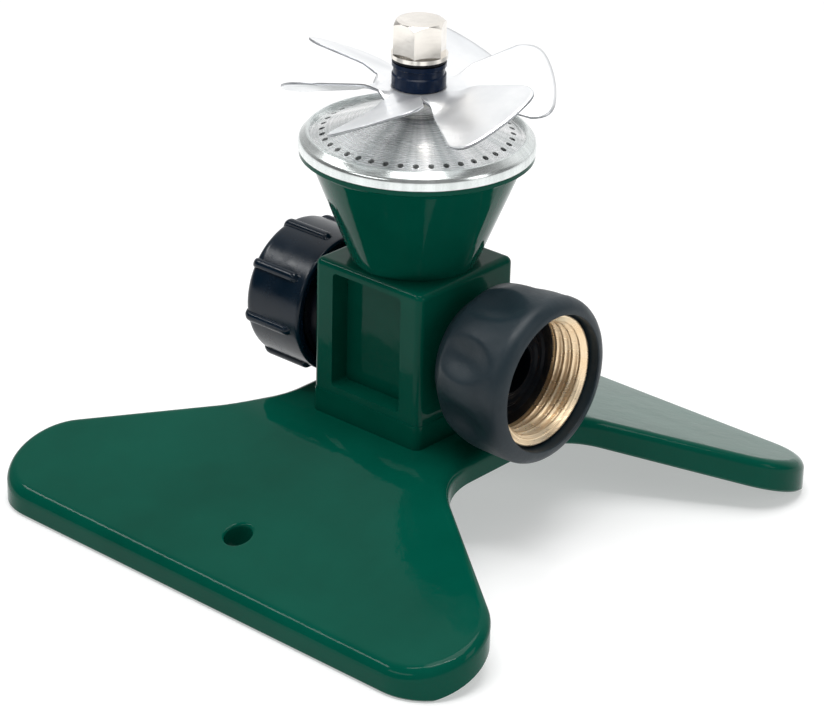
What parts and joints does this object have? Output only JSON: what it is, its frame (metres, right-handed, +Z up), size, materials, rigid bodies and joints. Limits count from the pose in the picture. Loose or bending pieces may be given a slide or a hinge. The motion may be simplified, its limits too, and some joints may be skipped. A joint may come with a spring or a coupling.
{
  "type": "sprinkler",
  "caption": "Rotary lawn sprinkler: a square cast body with a flared cup on an arched bow-tie base, a spinning bladed rotor over a perforated plate, a hose swivel and a screw cap.",
  "frame": {"origin": "on the ground under the rotor's spindle, at the middle of the base", "axes": "+Z up along the spindle, +X out of the hose inlet, Y across the base towards its two feet"},
  "size_m": [0.1318, 0.1356, 0.1112],
  "materials": {
    "green_enamel": "gloss",
    "screw_steel": "satin",
    "gasket_rubber": "matte",
    "stainless_plate": "satin",
    "bezel_aluminium": "satin",
    "spindle_steel": "satin",
    "washer_plastic": "matte",
    "nickel": "polished",
    "rotor_metal": "polished",
    "bushing_plastic": "satin",
    "tailpiece_plastic": "matte",
    "thread_brass": "polished",
    "grip_rubber": "matte",
    "hose_washer_rubber": "matte",
    "cap_plastic": "gloss",
    "cap_washer_rubber": "matte",
    "washer_black": "satin",
    "nipple_plastic": "satin"
  },
  "bodies": {
    "base": {"sled_base": "green_enamel", "base_screws": "screw_steel", "body_casting": "green_enamel", "plate_gasket": "gasket_rubber", "spray_plate": "stainless_plate", "bezel_ring": "bezel_aluminium", "spindle_stud": "spindle_steel", "plate_lock_nut": "screw_steel", "lower_thrust_washer": "washer_plastic", "upper_thrust_washer": "washer_black", "cap_nut": "nickel", "inlet_tailpiece": "tailpiece_plastic", "outlet_nipple": "nipple_plastic"},
    "rotor": {"rotor_blades": "rotor_metal", "rotor_bushing": "bushing_plastic"},
    "swivel": {"swivel_thread_insert": "thread_brass", "swivel_grip": "grip_rubber", "hose_washer": "hose_washer_rubber"},
    "cap_washer": {"end_cap_washer": "cap_washer_rubber"},
    "cap": {"end_cap": "cap_plastic"}
  },
  "joints": [
    {"name": "rotor_spin", "type": "hinge", "parent": "base", "child": "rotor", "pos_m": [0, 0, 0.0962], "axis": [0, 0, 1], "continuous": true},
    {"name": "swivel_turn", "type": "hinge", "parent": "base", "child": "swivel", "pos_m": [0.022, 0, 0.04], "axis": [1, 0, 0], "continuous": true},
    {"name": "cap_slide", "type": "slide", "parent": "base", "child": "cap_washer", "axis": [-1, 0, 0], "range_m": [0, 0.0143]},
    {"name": "cap_turn", "type": "hinge", "parent": "cap_washer", "child": "cap", "pos_m": [-0.027, 0, 0.04], "axis": [-1, 0, 0], "range_deg": [0, 2350]}
  ],
  "couplings": [
    {"joint": "cap_turn", "follows": "cap_slide", "rad_per_m": 2856}
  ]
}
